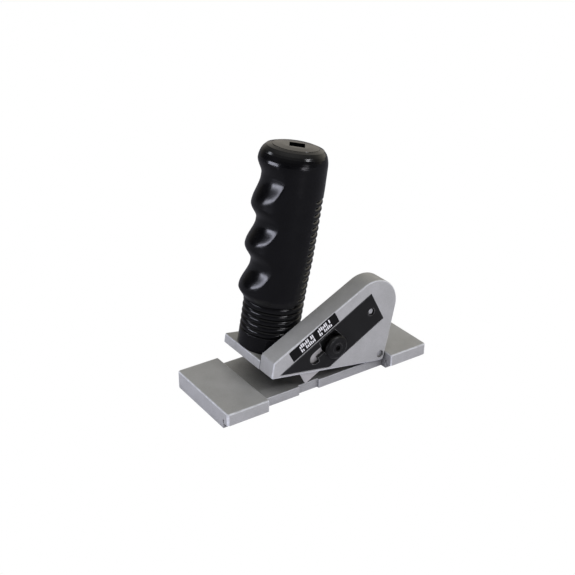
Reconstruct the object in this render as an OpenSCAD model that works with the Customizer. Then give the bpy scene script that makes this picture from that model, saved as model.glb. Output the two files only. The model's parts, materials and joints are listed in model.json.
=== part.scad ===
// Edge beveler: a plunge cutter that rides along a straightedge.
// Frame: origin on the sole at the part's centre, +X towards the hinge end,
// +Y away from the blade side, +Z up. The lever is drawn open, as its spring holds it.

/* [Base] */
// Length of the base along the straightedge
base_l = 124; // [118:1:130]
// Width of the base across the straightedge, lip included
base_w = 49.3; // [48:0.1:54]
// Height of the two end blocks
block_h = 9.6; // [9:0.1:11]
// Length of each end block
block_l = 23.9; // [22:0.1:26]
// Height of the deck between the blocks
deck_h = 5.1; // [4.6:0.1:5.2]
// How far the lip reaches over the straightedge
lip_w = 4.4; // [3:0.1:5]
// Room under the lip for the straightedge
lip_gap = 3.2; // [2:0.1:4]
// Setback of the deck's near face from the lip's edge
deck_inset = 7.8; // [7.8:0.1:9]
// Width of the notch in the deck's near face
notch_l = 12; // [8:0.1:16]
// Depth of the notch
notch_depth = 1.4; // [0.8:0.1:2.4]
// Distance from the base's left end to the notch
notch_start = 47; // [44:0.1:50]

/* [Lever] */
// Angle of the open lever above the deck
rest_angle = 9.6; // [8:0.1:9.8]
// Thickness of the side plate
side_t = 11.7; // [11:0.1:12]
// Length of the side plate's bottom edge
side_l = 71.65; // [70:0.05:71.7]
// Height of the side plate's left end
side_h = 8.8; // [7.5:0.1:10]
// Slope of the side plate's top edge
side_slope = 35.6; // [34:0.1:37]
// Radius of the side plate's nose
nose_r = 14.9; // [13:0.1:15]
// Setback of the side plate's near face from the lip's edge
side_inset = 5; // [4.8:0.1:5]
// Length of the grip platform
platform_l = 34; // [33:0.5:36]
// Thickness of the grip platform
platform_t = 5; // [4.8:0.1:6]
// How far the grip platform reaches past the base's far edge
platform_over = 1.4; // [0:0.1:2]

/* [Hinge] */
// Distance from the right block's inner face to the hinge axis
hinge_in = 3.3; // [3.3:0.1:4]
// Height of the hinge axis above the sole
hinge_z = 9.5; // [9.5:0.1:10]
// Height of the hinge axis above the side plate's bottom edge
hinge_w = 4.1; // [4:0.1:4.2]
// Distance from the side plate's right edge to the hinge axis
hinge_edge = 2.95; // [2.6:0.05:3]
// Radius of the hinge pin
pin_r = 1.5; // [1.2:0.1:1.8]
// Thickness of the base's hinge lug
lug_t = 3.5; // [3:0.1:3.8]
// Radius of the lug around the hinge pin
lug_r = 4; // [3.6:0.1:4]

/* [Blade and clamp] */
// Angle of the blade and its clamp plate above the side plate's bottom edge
blade_angle = 37.5; // [36:0.5:39]
// Thickness of the blade
blade_t = 0.65; // [0.4:0.05:0.65]
// Distance from the clamp screw's axis to the blade's end
blade_tip = 22.8; // [21:0.1:24]
// Distance from the clamp screw's axis to the cutting edge
blade_edge = 7.5; // [7:0.1:7.8]
// Thickness of the clamp plate
clamp_t = 2; // [1.6:0.1:2]
// Travel of the blade when it is drawn in
blade_travel = 3; // [1:0.5:3]
// Radius of the clamp screw's head
head_r = 6.4; // [6:0.1:7]

/* [Grip] */
// Height of the grip above its platform
grip_h = 105; // [104:1:112]
// Radius of the grip's barrel
grip_r = 16.8; // [16:0.1:17]
// Radius of the collar at the foot of the grip
collar_r = 15.3; // [15:0.1:15.6]
// Number of finger grooves
finger_count = 3; // [2:1:3]
// Distance between finger grooves
finger_pitch = 22.4; // [20:0.1:23]
// Depth of the finger grooves
finger_depth = 3.1; // [2:0.1:3.4]
// Turn of the grip on its platform
grip_turn = 36; // [0:1:45]
// Radius of the core inside the grip
core_r = 11; // [10:0.5:11]

/* [Hidden] */
$fn = 96;

// Cutters reach this far past the faces that they open.
over = 1;
// Gap between two parts that are only pushed together.
fit_gap = 0.02;
running_gap = 0.04;

// Base, with x from the left end and y from the lip's edge in near_y.
left_x = -base_l / 2;
near_y = -(base_w + platform_over) / 2;
far_y = near_y + base_w;
right_block_x = base_l / 2 - block_l;
relief_w = 0.8;
relief_h = 2;
// The relief bites into the fence face, which ends just below it.
relief_bite = 0.2;

// Lever: u runs along the side plate's bottom edge, w up from it.
hinge_x = right_block_x - hinge_in;
hinge_u = side_l - hinge_edge;
side_y = near_y + side_inset;
side_far = side_y + side_t;
// Above the hinge the right edge leans out over the base's block, and meets the nose.
lean = 2.4;
lean_low = 5;
edge_reach = cos(lean) * side_l - sin(lean) * lean_low - nose_r;
slope_reach = cos(side_slope) * side_h - nose_r;
nose_u = (edge_reach * cos(side_slope) + slope_reach * sin(lean)) / cos(lean + side_slope);
nose_w = (slope_reach * cos(lean) + edge_reach * sin(side_slope)) / cos(lean + side_slope);
heel_r = 2;

// Hinge slot in the side plate, centred on its thickness.
slot_t = lug_t + 0.6;
slot_r = lug_r + 0.6;
hinge_mid_y = side_y + side_t / 2;
bush_r = 2.5;
washer_t = (slot_t - lug_t) / 2 - 0.05;
washer_r = min(lug_r, hinge_in) - 0.2;
pin_recess = 1.2;

// Clamp: a runs along the blade from the screw's axis, b towards the blade's back.
screw_u = 36.6;
screw_w = 13.1;
clamp_left = -32;
clamp_right = 30.4;
clamp_edge = -8.2;
clamp_back = 10.4;
clamp_cut_w = 1.7;
pocket_gap = 0.15;
blade_y = side_y + clamp_t;
pocket_floor = blade_y + blade_t + fit_gap;
blade_end = 28.6;
blade_back = 10.1;
blade_hole_left = -6.5;
blade_hole_right = 7.5;
blade_hole_edge = -3.2;
blade_hole_back = 9.4;
edge_bevel = 1.4;
dowel_a = 26;
dowel_b = 0.8;
dowel_r = 1.4;
dowel_y = side_y + 0.6;
dowel_l = 8;
window_left = -6.4;
window_right = 5.4;
window_back = 9.3;
hook_a = -12;
hook_b = 2.9;
hook_r = 3;
tongue_left = -11.4;
tongue_back = 2.6;
screw_r = 2.5;
screw_l = 9.5;
head_t = 2;
head_rim_t = 0.5;
head_face_r = head_r - 1.8;
socket_r = 1.75;
socket_depth = 1.6;
clamp_washer_r = 5.6;
clamp_washer_t = 0.4;
insert_r = 4;
insert_l = 7.4;
insert_plate_t = 1.2;
insert_plate_gap = 0.4;

// Label above the clamp plate.
label_left = -22.7;
label_right = 8.3;
label_low = 11;
label_high = 17.4;
label_t = 0.3;

// Platform joint: a tenon under the side plate, and three screws from below.
tenon_u = 3;
tenon_l = 28;
tenon_depth = 6;
tenon_gap = 0.1;
screw3_r = 1.5;
screw3_head_r = 2.75;
screw3_head_t = 1.7;
screw3_l = 9.5;
screw3_count = 3;
screw3_pitch = 9;
screw3_u = tenon_u + 5;
screw3_y = side_far - tenon_depth / 2;

// Spring between the deck and a boss on the side plate's far face.
spring_x = hinge_x - 22.5;
spring_u = hinge_u - 22.7;
spring_y = side_far + 5.7;
spring_r = 2.6;
wire_r = 0.45;
spring_turns = 7;
spring_z = 2.1;
spring_top = 17.4;
spring_hole_r = 4.6;
spring_hole_w = 9;
seat_r = 3.6;
spring_boss_l = 12;
spring_boss_d = 11;
spring_boss_h = 12.5;

// Grip, drawn along its own axis from the platform's top face.
grip_u = 15.3;
grip_y = far_y - 16;
platform_far = far_y + platform_over;
barrel_shift = 1;
// The barrel starts inside the collar, and its wall clears the collar's own wall.
barrel_foot_r = collar_r - 1.3;
flare_low = 24;
flare_high = 30;
shoulder_r = 9;
crown_r = 12;
crown_rim_r = 14.4;
crown_rim_drop = 1.8;
collar_h = 9.5;
ring_count = 5;
ring_pitch = 3.1;
ring_r = 0.7;
first_groove_h = grip_h - 20.2;
groove_half = 10.6;
groove_tube_r = (groove_half * groove_half + finger_depth * finger_depth) / (2 * finger_depth);
groove_shift = 4.5;
groove_ring_r = grip_r + barrel_shift - finger_depth + groove_shift + groove_tube_r;
core_h = 93;
bolt_r = 3;
bolt_hole_r = 3.2;
bolt_head_r = 6;
bolt_head_t = 2.2;
bolt_l = 106;
top_washer_r = 9;
top_washer_t = 1.4;
nut_flat = 10;
nut_t = 5;
nut_room_h = 101.5;
top_hole_l = 7.6;
top_hole_w = 8.4;

plastic_grey = "#a3a3a0";
gloss_black = "#141414";
matt_black = "#2b2b2b";
steel = "#c9c7c2";
brass = "#c2a25a";

// Places its children in the open lever: x is u, z is w.
module lever_frame() {
    translate([hinge_x, 0, hinge_z])
        rotate([0, rest_angle, 0])
            translate([-hinge_u, 0, -hinge_w])
                children();
}

// Extrudes a shape drawn in x and z from y0 towards the far side.
module slab(y0, depth) {
    translate([0, y0 + depth, 0])
        rotate([90, 0, 0])
            linear_extrude(depth)
                children();
}

// Places a flat shape drawn in a and b on the side plate's u and w.
module on_blade() {
    translate([screw_u, screw_w])
        rotate(blade_angle)
            children();
}

// A straight round bar along y, from y0.
module bar(r, y0, depth) {
    translate([0, y0, 0])
        rotate([-90, 0, 0])
            cylinder(r = r, h = depth);
}

module at_screw() {
    translate([screw_u, 0, screw_w])
        children();
}

module at_hinge() {
    translate([hinge_u, 0, hinge_w])
        children();
}

module at_dowel() {
    at_screw()
        rotate([0, -blade_angle, 0])
            translate([dowel_a, 0, dowel_b])
                children();
}

module at_grip() {
    lever_frame()
        translate([grip_u, grip_y, platform_t])
            children();
}

// ---- Base ----

module end_block() {
    difference() {
        translate([0, near_y, 0])
            cube([block_l, base_w, block_h]);
        translate([-over, near_y - over, -over])
            cube([block_l + 2 * over, lip_w + over, lip_gap + over]);
        translate([-over, near_y + lip_w + relief_bite - relief_w, lip_gap - relief_bite])
            cube([block_l + 2 * over, relief_w, relief_h + relief_bite]);
    }
}

module deck() {
    difference() {
        translate([left_x + block_l - over, near_y + deck_inset, 0])
            cube([base_l - 2 * block_l + 2 * over, base_w - deck_inset, deck_h]);
        translate([left_x + notch_start, near_y + deck_inset - over, -over])
            cube([notch_l, notch_depth + over, deck_h + 2 * over]);
        translate([spring_x, spring_y, spring_z])
            cylinder(r = seat_r, h = deck_h);
    }
}

module hinge_lug() {
    difference() {
        union() {
            translate([hinge_x, 0, hinge_z])
                bar(lug_r, hinge_mid_y - lug_t / 2, lug_t);
            translate([hinge_x - lug_r, hinge_mid_y - lug_t / 2, deck_h - over])
                cube([lug_r + hinge_in + over, lug_t, hinge_z - deck_h + over]);
        }
        translate([hinge_x, 0, hinge_z])
            bar(bush_r + fit_gap, hinge_mid_y - lug_t, 2 * lug_t);
    }
}

module base_plate() {
    color(plastic_grey)
        union() {
            translate([left_x, 0, 0])
                end_block();
            translate([right_block_x, 0, 0])
                end_block();
            deck();
            hinge_lug();
        }
}

// ---- Hinge ----

module hinge_bush() {
    color(brass)
        translate([hinge_x, 0, hinge_z])
            difference() {
                bar(bush_r, hinge_mid_y - lug_t / 2, lug_t);
                bar(pin_r + running_gap, hinge_mid_y - lug_t, 2 * lug_t);
            }
}

module hinge_washers() {
    color("ivory")
        translate([hinge_x, 0, hinge_z])
            for (side = [-1, 1])
                translate([0, hinge_mid_y + side * (lug_t + slot_t) / 4, 0])
                    difference() {
                        bar(washer_r, -washer_t / 2, washer_t);
                        bar(pin_r + 0.1, -over, 2 * over);
                    }
}

module hinge_pin() {
    color(steel)
        lever_frame()
            at_hinge()
                bar(pin_r, side_y + pin_recess, side_t - 1.5 * pin_recess);
}

// ---- Return spring ----

// Centre of the wire at a given share of the spring's length.
// The end coils lie close together and the pitch opens between them.
function coil_rise(s) = s - sin(360 * s) / (2 * PI) * 0.55;
function coil_z(s) =
    spring_z + wire_r + 0.05 + (spring_top - spring_z - 2 * wire_r - 0.1) * coil_rise(s);
function coil_point(s, k, sides) =
    let (turn = 360 * spring_turns * s, around = 360 * k / sides,
         r = spring_r + wire_r * cos(around))
    [spring_x + r * cos(turn), spring_y + r * sin(turn), coil_z(s) + wire_r * sin(around)];

module return_spring() {
    sides = 10;
    steps = spring_turns * 24;
    points = [
        for (i = [0:steps], k = [0:sides - 1]) coil_point(i / steps, k, sides)
    ];
    walls = [
        for (i = [0:steps - 1], k = [0:sides - 1])
            let (n = (k + 1) % sides, a = i * sides, b = a + sides)
            [a + k, b + k, b + n, a + n]
    ];
    start_cap = [[for (k = [0:sides - 1]) k]];
    end_cap = [[for (k = [sides - 1:-1:0]) steps * sides + k]];
    color(steel)
        polyhedron(points = points, faces = concat(walls, start_cap, end_cap), convexity = 8);
}

// ---- Side plate ----

module side_outline() {
    difference() {
        union() {
            polygon([
                [0, 0],
                [side_l, 0],
                [side_l, lean_low],
                [nose_u + nose_r * cos(lean), nose_w - nose_r * sin(lean)],
                [nose_u - nose_r * sin(side_slope), nose_w + nose_r * cos(side_slope)],
                [0, side_h]
            ]);
            translate([nose_u, nose_w])
                circle(nose_r);
        }
        difference() {
            translate([side_l - heel_r, -over])
                square([heel_r + over, heel_r + over]);
            translate([side_l - heel_r, heel_r])
                circle(heel_r);
        }
    }
}

// Outline of the clamp plate, grown by a gap.
module clamp_outline(gap) {
    intersection() {
        on_blade()
            translate([clamp_left - gap, clamp_edge - gap])
                square([clamp_right - clamp_left + 2 * gap, clamp_back - clamp_edge + 2 * gap]);
        translate([-side_l, clamp_cut_w - gap])
            square([3 * side_l, side_l]);
    }
}

// Channel for the blade, open at the side plate's bottom edge.
module blade_channel() {
    on_blade()
        translate([-side_l, -blade_edge - pocket_gap])
            square([
                side_l + blade_end + blade_travel + pocket_gap,
                blade_back + blade_edge + 2 * pocket_gap
            ]);
}

module label_outline(gap) {
    on_blade()
        translate([label_left - gap, label_low - gap])
            square([label_right - label_left + 2 * gap, label_high - label_low + 2 * gap]);
}

// Room for the hinge lug, open at the bottom and the right edge.
module hinge_slot() {
    translate([hinge_u, hinge_w])
        circle(slot_r);
    translate([hinge_u - slot_r, -over])
        square([2 * slot_r + over, hinge_w + over]);
    translate([hinge_u, -over])
        square([slot_r + over, hinge_w + slot_r + over]);
}

module spring_boss() {
    translate([spring_u - spring_boss_l / 2, side_far - over, 0])
        cube([spring_boss_l, spring_boss_d + over, spring_boss_h]);
}

module side_plate() {
    color(plastic_grey)
        lever_frame()
            difference() {
                union() {
                    slab(side_y, side_t)
                        side_outline();
                    spring_boss();
                }
                slab(side_y - over, clamp_t + over + fit_gap)
                    clamp_outline(pocket_gap);
                slab(blade_y - fit_gap, blade_t + 2 * fit_gap)
                    blade_channel();
                slab(side_y - over, label_t + over + fit_gap)
                    label_outline(0.1);
                slab(hinge_mid_y - slot_t / 2, slot_t)
                    hinge_slot();
                at_hinge()
                    bar(pin_r, side_y - over, side_t + 2 * over);
                at_screw()
                    bar(insert_r, pocket_floor - over, insert_l + over + 0.3);
                slab(pocket_floor - over, insert_plate_t + over + 0.1)
                    insert_plate(fit_gap);
                at_dowel()
                    bar(dowel_r, pocket_floor - over, dowel_l);
                translate([tenon_u - tenon_gap, side_far - tenon_depth - tenon_gap, -over])
                    cube([
                        tenon_l + 2 * tenon_gap,
                        tenon_depth + tenon_gap + over,
                        platform_t + over + fit_gap
                    ]);
                for (i = [0:screw3_count - 1])
                    translate([screw3_u + i * screw3_pitch, screw3_y, 0])
                        cylinder(r = screw3_r, h = screw3_l + 0.3);
                translate([spring_u, spring_y, -over])
                    cylinder(r = spring_hole_r, h = spring_hole_w + over);
            }
}

// ---- Grip platform ----

module grip_platform() {
    color(plastic_grey)
        lever_frame()
            difference() {
                union() {
                    translate([0, side_far + fit_gap, 0])
                        cube([platform_l, platform_far - side_far - fit_gap, platform_t]);
                    translate([tenon_u, side_far - tenon_depth, 0])
                        cube([tenon_l, tenon_depth + over, platform_t]);
                }
                for (i = [0:screw3_count - 1])
                    translate([screw3_u + i * screw3_pitch, screw3_y, 0]) {
                        translate([0, 0, -over])
                            cylinder(r = screw3_r + 0.1, h = platform_t + 2 * over);
                        cylinder(r1 = screw3_head_r + 0.1, r2 = screw3_r, h = screw3_head_t + 0.1);
                    }
                translate([grip_u, grip_y, -over]) {
                    cylinder(r = bolt_hole_r, h = platform_t + 2 * over);
                    cylinder(r = bolt_head_r + 0.2, h = bolt_head_t + 0.2 + over);
                }
            }
}

module platform_screws() {
    color(steel)
        lever_frame()
            for (i = [0:screw3_count - 1])
                translate([screw3_u + i * screw3_pitch, screw3_y, 0.05])
                    difference() {
                        union() {
                            cylinder(r1 = screw3_head_r - 0.1, r2 = screw3_r - 0.1, h = screw3_head_t);
                            cylinder(r = screw3_r - fit_gap, h = screw3_l);
                        }
                        translate([0, 0, -over])
                            cylinder(r = 1, h = over + 1.2, $fn = 6);
                    }
}

// ---- Blade and clamp ----

module blade_outline() {
    difference() {
        translate([-blade_tip, -blade_edge])
            square([blade_tip + blade_end, blade_edge + blade_back]);
        translate([blade_hole_left, blade_hole_edge])
            square([blade_hole_right - blade_hole_left, blade_hole_back - blade_hole_edge]);
        translate([dowel_a, dowel_b])
            circle(dowel_r + 0.1);
        translate([dowel_a - blade_travel, dowel_b])
            circle(dowel_r + 0.1);
        translate([dowel_a - blade_travel, dowel_b - dowel_r - 0.1])
            square([blade_travel, 2 * dowel_r + 0.2]);
    }
}

// Wedge that leaves the sharpened bevel on the blade's far face.
module edge_wedge() {
    at_screw()
        rotate([0, -blade_angle, 0])
            translate([-blade_tip - over, blade_y + 0.05, -blade_edge])
                rotate([atan(edge_bevel / (blade_t - 0.05)) - 90, 0, 0])
                    translate([0, 0, -edge_bevel])
                        cube([blade_tip + blade_end + 2 * over, edge_bevel, 3 * edge_bevel]);
}

module blade() {
    color(steel)
        lever_frame()
            difference() {
                slab(blade_y, blade_t)
                    on_blade()
                        blade_outline();
                edge_wedge();
            }
}

module clamp_window() {
    difference() {
        union() {
            polygon([
                [window_left, window_back],
                [window_right - 1.2, window_back],
                [window_right + 1.2, 0],
                [window_left, 0]
            ]);
            translate([hook_a, hook_b])
                circle(hook_r);
            translate([hook_a, hook_b - hook_r])
                square([window_left - hook_a + over, 2 * hook_r]);
        }
        translate([tongue_left, tongue_back - 2 * hook_r])
            square([window_left - tongue_left + over, 2 * hook_r]);
    }
}

module clamp_plate() {
    color(matt_black)
        lever_frame()
            difference() {
                slab(side_y, clamp_t)
                    difference() {
                        clamp_outline(0);
                        on_blade() {
                            clamp_window();
                            circle(screw_r + 0.3);
                        }
                    }
                at_dowel()
                    bar(dowel_r + 0.65, side_y - over, clamp_t + 2 * over);
            }
}

module locating_pin() {
    color(steel)
        lever_frame()
            at_dowel()
                bar(dowel_r - fit_gap, dowel_y, dowel_l - 0.5);
}

module clamp_screw() {
    head_y = side_y - clamp_washer_t - 2 * fit_gap - head_t;
    color(gloss_black)
        lever_frame()
            at_screw()
                difference() {
                    union() {
                        bar(head_r, head_y + head_t - head_rim_t, head_rim_t);
                        translate([0, head_y, 0])
                            rotate([-90, 0, 0])
                                cylinder(r1 = head_face_r, r2 = head_r, h = head_t - head_rim_t);
                        bar(screw_r - 0.05, head_y + head_t - over, screw_l + over);
                    }
                    translate([0, head_y - over, 0])
                        rotate([-90, 0, 0])
                            cylinder(r = socket_r, h = socket_depth + over, $fn = 6);
                }
}

module clamp_washer() {
    color(steel)
        lever_frame()
            at_screw()
                difference() {
                    bar(clamp_washer_r, side_y - clamp_washer_t - fit_gap, clamp_washer_t);
                    bar(screw_r + 0.2, side_y - 2 * over, 3 * over);
                }
}

// Plate of the threaded insert, seen through the blade's hole.
module insert_plate(gap) {
    reach = insert_plate_gap - gap;
    on_blade()
        translate([blade_hole_left + reach, blade_hole_edge + reach])
            square([
                blade_hole_right - blade_hole_left - 2 * reach,
                blade_hole_back - blade_hole_edge - 2 * reach
            ]);
}

module clamp_insert() {
    color(matt_black)
        lever_frame()
            difference() {
                union() {
                    at_screw()
                        bar(insert_r - fit_gap, pocket_floor + fit_gap, insert_l);
                    slab(pocket_floor + fit_gap, insert_plate_t)
                        insert_plate(0);
                }
                at_screw()
                    bar(screw_r, side_y, side_t);
            }
}

module label_plate() {
    color(matt_black)
        lever_frame()
            slab(side_y, label_t)
                label_outline(0);
}

// ---- Handle ----

module handle_core() {
    color("#8d8d8a")
        at_grip()
            translate([0, 0, fit_gap])
                difference() {
                    cylinder(r = core_r, h = core_h);
                    translate([0, 0, -over])
                        cylinder(r = bolt_hole_r, h = core_h + 2 * over);
                }
}

module handle_bolt() {
    color(steel)
        at_grip()
            translate([0, 0, 0.1 - platform_t])
                difference() {
                    union() {
                        cylinder(r = bolt_head_r, h = bolt_head_t);
                        cylinder(r = bolt_r, h = bolt_l);
                    }
                    translate([0, 0, -over])
                        cylinder(r = 2.3, h = over + 1.4, $fn = 6);
                }
}

module handle_washer() {
    color(steel)
        at_grip()
            translate([0, 0, core_h + 2 * fit_gap])
                difference() {
                    cylinder(r = top_washer_r, h = top_washer_t);
                    translate([0, 0, -over])
                        cylinder(r = bolt_hole_r, h = top_washer_t + 2 * over);
                }
}

module handle_nut() {
    color(steel)
        at_grip()
            translate([0, 0, core_h + top_washer_t + 3 * fit_gap])
                difference() {
                    cylinder(r = nut_flat / sqrt(3), h = nut_t, $fn = 6);
                    translate([0, 0, -over])
                        cylinder(r = bolt_r + fit_gap, h = nut_t + 2 * over);
                }
}

// Half profile of the barrel: it flares from the collar, and ends in a shoulder and a flat crown.
module barrel_profile() {
    barrel_h = grip_h - shoulder_r;
    polygon([
        [0, 0],
        [barrel_foot_r, 0],
        [barrel_foot_r, flare_low - 1],
        [grip_r, flare_high],
        [grip_r, barrel_h],
        [crown_rim_r, grip_h - crown_rim_drop],
        [crown_r, grip_h],
        [0, grip_h]
    ]);
    intersection() {
        translate([grip_r - shoulder_r, barrel_h])
            circle(shoulder_r);
        square([grip_r, grip_h - crown_rim_drop]);
    }
}

// Ring-shaped cutter that dips into the front of the grip only.
module finger_groove(h) {
    translate([groove_shift, 0, h])
        rotate_extrude()
            translate([groove_ring_r, 0])
                circle(groove_tube_r);
}

module collar_ring(h) {
    translate([0, 0, h])
        rotate_extrude()
            translate([collar_r + 0.3, 0])
                circle(ring_r);
}

module handle_grip() {
    color(gloss_black)
        at_grip()
            rotate([0, 0, -grip_turn])
                difference() {
                    translate([0, 0, 2 * fit_gap]) {
                        cylinder(r = collar_r, h = flare_low);
                        translate([-barrel_shift, 0, 0])
                            rotate_extrude()
                                barrel_profile();
                    }
                    for (i = [0:finger_count - 1])
                        finger_groove(first_groove_h - i * finger_pitch);
                    for (i = [0:ring_count - 1])
                        collar_ring(collar_h + ring_pitch * i);
                    translate([0, 0, -over])
                        cylinder(r = core_r + fit_gap, h = nut_room_h + over);
                    translate([-top_hole_l / 2, -top_hole_w / 2, core_h])
                        cube([top_hole_l, top_hole_w, grip_h]);
                }
}

base_plate();
hinge_bush();
hinge_washers();
return_spring();
side_plate();
grip_platform();
platform_screws();
hinge_pin();
clamp_insert();
blade();
clamp_plate();
locating_pin();
clamp_screw();
clamp_washer();
label_plate();
handle_core();
handle_bolt();
handle_washer();
handle_nut();
handle_grip();
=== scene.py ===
"""Looks for the edge beveler: moulded grey frame, glossy finger grip, clamped blade."""

import json
import math

import bmesh
import bpy
import numpy as np
from mathutils import Matrix, Vector
from mathutils.geometry import tessellate_polygon

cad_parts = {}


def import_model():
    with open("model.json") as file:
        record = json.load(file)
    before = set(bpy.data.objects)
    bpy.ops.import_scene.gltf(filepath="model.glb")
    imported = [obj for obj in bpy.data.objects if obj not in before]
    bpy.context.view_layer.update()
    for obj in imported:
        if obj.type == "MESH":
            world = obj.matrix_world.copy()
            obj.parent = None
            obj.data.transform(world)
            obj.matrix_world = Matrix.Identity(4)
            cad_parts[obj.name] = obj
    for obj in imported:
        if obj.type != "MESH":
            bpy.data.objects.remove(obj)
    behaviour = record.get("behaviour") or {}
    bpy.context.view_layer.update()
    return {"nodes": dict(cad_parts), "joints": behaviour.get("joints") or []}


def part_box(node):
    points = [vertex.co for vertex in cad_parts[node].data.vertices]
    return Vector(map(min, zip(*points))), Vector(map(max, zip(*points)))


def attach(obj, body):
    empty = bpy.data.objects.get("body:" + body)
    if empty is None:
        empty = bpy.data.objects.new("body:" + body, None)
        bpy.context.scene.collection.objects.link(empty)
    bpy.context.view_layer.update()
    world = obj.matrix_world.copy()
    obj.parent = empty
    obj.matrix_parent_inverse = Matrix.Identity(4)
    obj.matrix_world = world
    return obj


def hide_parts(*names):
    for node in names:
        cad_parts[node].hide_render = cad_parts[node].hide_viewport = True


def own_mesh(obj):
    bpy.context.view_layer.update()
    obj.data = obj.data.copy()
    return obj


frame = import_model()

MM = 0.001
# Points closer than this, in millimetres, become one.
MERGE = 1e-4
# Profiles that are turned stop just short of the axis.
AXIS_R = 0.01
JOINTS = {joint["name"]: joint for joint in frame["joints"]}

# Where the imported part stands, in millimetres.
BASE_LO, BASE_HI = (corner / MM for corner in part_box("base_plate"))
SIDE_LO, SIDE_HI = (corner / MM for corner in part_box("side_plate"))
PLATFORM_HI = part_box("grip_platform")[1] / MM
SPRING_LO, SPRING_HI = (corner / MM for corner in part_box("return_spring"))
SPRING_X = (SPRING_LO.x + SPRING_HI.x) / 2
SPRING_Y = (SPRING_LO.y + SPRING_HI.y) / 2
HINGE = Vector(JOINTS["lever_hinge"]["pos_m"]) / MM
SCREW = Vector(JOINTS["screw_turn"]["pos_m"]) / MM
REST_ANGLE = math.radians(JOINTS["lever_hinge"]["range_deg"][1])
BLADE_AXIS = Vector(JOINTS["blade_slide"]["axis"])

# Base.
BLOCK_L = 23.9
BLOCK_H = 9.6
DECK_H = 5.1
LIP_W = 4.4
LIP_GAP = 3.2
RELIEF_W = 0.8
RELIEF_H = 2.0
RELIEF_BITE = 0.2
DECK_INSET = 7.8
NOTCH_START = 47.0
NOTCH_L = 12.0
NOTCH_DEPTH = 1.4
LUG_R = 4.0
LUG_T = 3.5
LUG_BACK_DROP = 1.6
LUG_SUNK = 1.5
BUSH_R = 2.52
SEAT_R = 3.6
# Rounding of a piece's edges, at the start and at the end of its extrusion.
BLOCK_ROUND = (0.2, 0.9)
DECK_ROUND = (0.3, 0.35)
LUG_ROUND = (0.15, 0.15)
OUTER_CORNER = 1.6
INNER_CORNER = 0.9
NOTCH_CORNER = 0.3
# Pieces that are joined to a body start this far inside it.
SUNK = 2.0
# Cutters reach this far past the faces that they open.
OVER = 1.0
# Small step that keeps two faces from lying in one plane.
SLIP = 0.02

# Lever: u runs along its bottom edge, w up from it.
HINGE_U = 68.7
HINGE_W = 4.1
SIDE_L = 71.65
SIDE_H = 8.8
SIDE_T = 11.7
SIDE_SLOPE = math.radians(35.6)
NOSE_R = 14.9
LEAN = math.radians(2.4)
LEAN_LOW = 5.0
PLATFORM_L = 34.0
PLATFORM_T = 5.0
CLAMP_T = 2.0
BLADE_T = 0.65
PIN_R = 1.5
PIN_MOUTH_R = 2.1
SLOT_R = 4.6
SLOT_T = 4.1

# Grip.
GRIP_U = 15.3
GRIP_TURN = math.radians(-36.0)
GRIP_H = 104.8


def mesh_object(name, verts, faces, place=Matrix.Identity(4)):
    """A closed mesh from millimetre points, moved by place and scaled to metres."""
    mesh = bpy.data.meshes.new(name)
    mesh.from_pydata([Vector(v) for v in verts], [], faces)
    mesh.transform(place)
    mesh.transform(Matrix.Scale(MM, 4))
    work = bmesh.new()
    work.from_mesh(mesh)
    bmesh.ops.remove_doubles(work, verts=work.verts, dist=MERGE * MM)
    bmesh.ops.recalc_face_normals(work, faces=work.faces)
    work.to_mesh(mesh)
    work.free()
    obj = bpy.data.objects.new(name, mesh)
    bpy.context.scene.collection.objects.link(obj)
    return obj


def axes(p, q, t, origin=(0, 0, 0)):
    """Matrix that takes outline coordinates p, q and extrusion t into the row frame."""
    matrix = Matrix((p, q, t)).transposed().to_4x4()
    matrix.translation = Vector(origin)
    return matrix


ROW_XY = axes((1, 0, 0), (0, 1, 0), (0, 0, 1))
ROW_YZ = axes((0, 1, 0), (0, 0, 1), (1, 0, 0))
ROW_XZ = axes((1, 0, 0), (0, 0, 1), (0, 1, 0))
LEVER = (
    Matrix.Translation((HINGE.x, 0, HINGE.z))
    @ Matrix.Rotation(REST_ANGLE, 4, "Y")
    @ Matrix.Translation((-HINGE_U, 0, -HINGE_W))
)
LEVER_UW = LEVER @ axes((1, 0, 0), (0, 0, 1), (0, 1, 0))
CLAMP_AB = axes(
    (BLADE_AXIS.x, 0, BLADE_AXIS.z),
    (-BLADE_AXIS.z, 0, BLADE_AXIS.x),
    (0, 1, 0),
    (SCREW.x, 0, SCREW.z),
)
GRIP_Y = BASE_HI.y - 16.0
GRIP = LEVER @ Matrix.Translation((GRIP_U, GRIP_Y, PLATFORM_T)) @ Matrix.Rotation(GRIP_TURN, 4, "Z")


def arc(cx, cy, r, start, end, steps):
    """Points on an arc, angles in degrees."""
    turns = np.radians(np.linspace(start, end, steps + 1))
    return [(cx + r * math.cos(a), cy + r * math.sin(a)) for a in turns]


def ring(cx, cy, r, steps=64):
    return arc(cx, cy, r, 0, 360, steps)[:-1]


def rectangle(p0, p1, q0, q1, gap=0.0):
    """The corners of a rectangle that is grown by a gap."""
    return [(p0 - gap, q0 - gap), (p1 + gap, q0 - gap), (p1 + gap, q1 + gap), (p0 - gap, q1 + gap)]


def soft(points, radii):
    """An anticlockwise outline of (p, q, corner radius); radii is one number or one per corner."""
    if not isinstance(radii, (list, tuple)):
        radii = [radii] * len(points)
    return [(p[0], p[1], r) for p, r in zip(points, radii)]


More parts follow.
